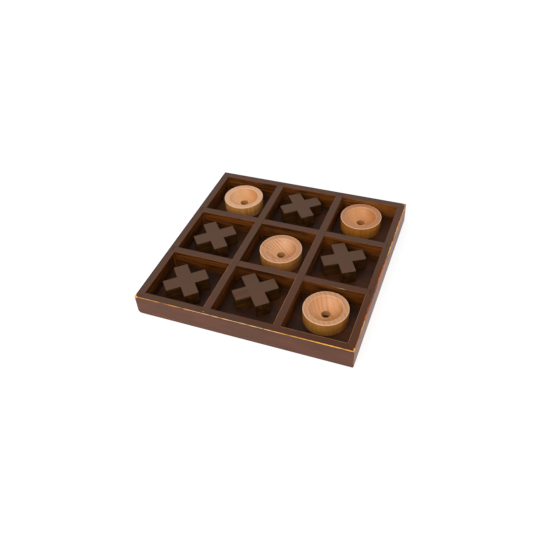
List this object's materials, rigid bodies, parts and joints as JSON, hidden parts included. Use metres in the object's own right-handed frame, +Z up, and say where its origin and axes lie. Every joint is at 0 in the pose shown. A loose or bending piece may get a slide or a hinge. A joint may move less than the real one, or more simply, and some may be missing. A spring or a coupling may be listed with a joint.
{
  "type": "tic-tac-toe game",
  "caption": "Square wooden tic-tac-toe tray divided into open cells, with loose brown crosses and pale dished discs standing in them.",
  "frame": {"origin": "centre of the tray's underside, in the plane that the rails stand on", "axes": "+X to the right along the front rail, +Y from the front rail to the back rail, +Z up"},
  "size_m": [0.305, 0.305, 0.0318],
  "materials": {
    "distressed_brown_wood": "matte brown stain, rubbed through to bare wood at the edges",
    "brown_painted_wood": "matte brown",
    "pale_wood": "clear satin on pale turned wood",
    "brad_steel": "plain steel"
  },
  "bodies": {
    "tray": {"front_rail": "distressed_brown_wood", "right_rail": "distressed_brown_wood", "back_rail": "distressed_brown_wood", "left_rail": "distressed_brown_wood", "base_panel": "distressed_brown_wood", "base_brads": "brad_steel", "divider_left": "distressed_brown_wood", "divider_right": "distressed_brown_wood", "divider_front": "distressed_brown_wood", "divider_back": "distressed_brown_wood"},
    "cross_back_middle": {"cross_back_middle_upper_bar": "brown_painted_wood", "cross_back_middle_lower_bar": "brown_painted_wood"},
    "cross_middle_left": {"cross_middle_left_upper_bar": "brown_painted_wood", "cross_middle_left_lower_bar": "brown_painted_wood"},
    "cross_middle_right": {"cross_middle_right_upper_bar": "brown_painted_wood", "cross_middle_right_lower_bar": "brown_painted_wood"},
    "cross_front_left": {"cross_front_left_upper_bar": "brown_painted_wood", "cross_front_left_lower_bar": "brown_painted_wood"},
    "cross_front_middle": {"cross_front_middle_upper_bar": "brown_painted_wood", "cross_front_middle_lower_bar": "brown_painted_wood"},
    "disc_back_left": {"disc_back_left": "pale_wood"},
    "disc_back_right": {"disc_back_right": "pale_wood"},
    "disc_centre": {"disc_centre": "pale_wood"},
    "disc_front_right": {"disc_front_right": "pale_wood"}
  },
  "joints": [
    {"name": "cross_back_middle_lift", "type": "slide", "parent": "tray", "child": "cross_back_middle", "axis": [0, 0, 1], "range_m": [0, 0.04]},
    {"name": "cross_middle_left_lift", "type": "slide", "parent": "tray", "child": "cross_middle_left", "axis": [0, 0, 1], "range_m": [0, 0.04]},
    {"name": "cross_middle_right_lift", "type": "slide", "parent": "tray", "child": "cross_middle_right", "axis": [0, 0, 1], "range_m": [0, 0.04]},
    {"name": "cross_front_left_lift", "type": "slide", "parent": "tray", "child": "cross_front_left", "axis": [0, 0, 1], "range_m": [0, 0.04]},
    {"name": "cross_front_middle_lift", "type": "slide", "parent": "tray", "child": "cross_front_middle", "axis": [0, 0, 1], "range_m": [0, 0.04]},
    {"name": "disc_back_left_lift", "type": "slide", "parent": "tray", "child": "disc_back_left", "axis": [0, 0, 1], "range_m": [0, 0.04]},
    {"name": "disc_back_right_lift", "type": "slide", "parent": "tray", "child": "disc_back_right", "axis": [0, 0, 1], "range_m": [0, 0.04]},
    {"name": "disc_centre_lift", "type": "slide", "parent": "tray", "child": "disc_centre", "axis": [0, 0, 1], "range_m": [0, 0.04]},
    {"name": "disc_front_right_lift", "type": "slide", "parent": "tray", "child": "disc_front_right", "axis": [0, 0, 1], "range_m": [0, 0.04]}
  ]
}
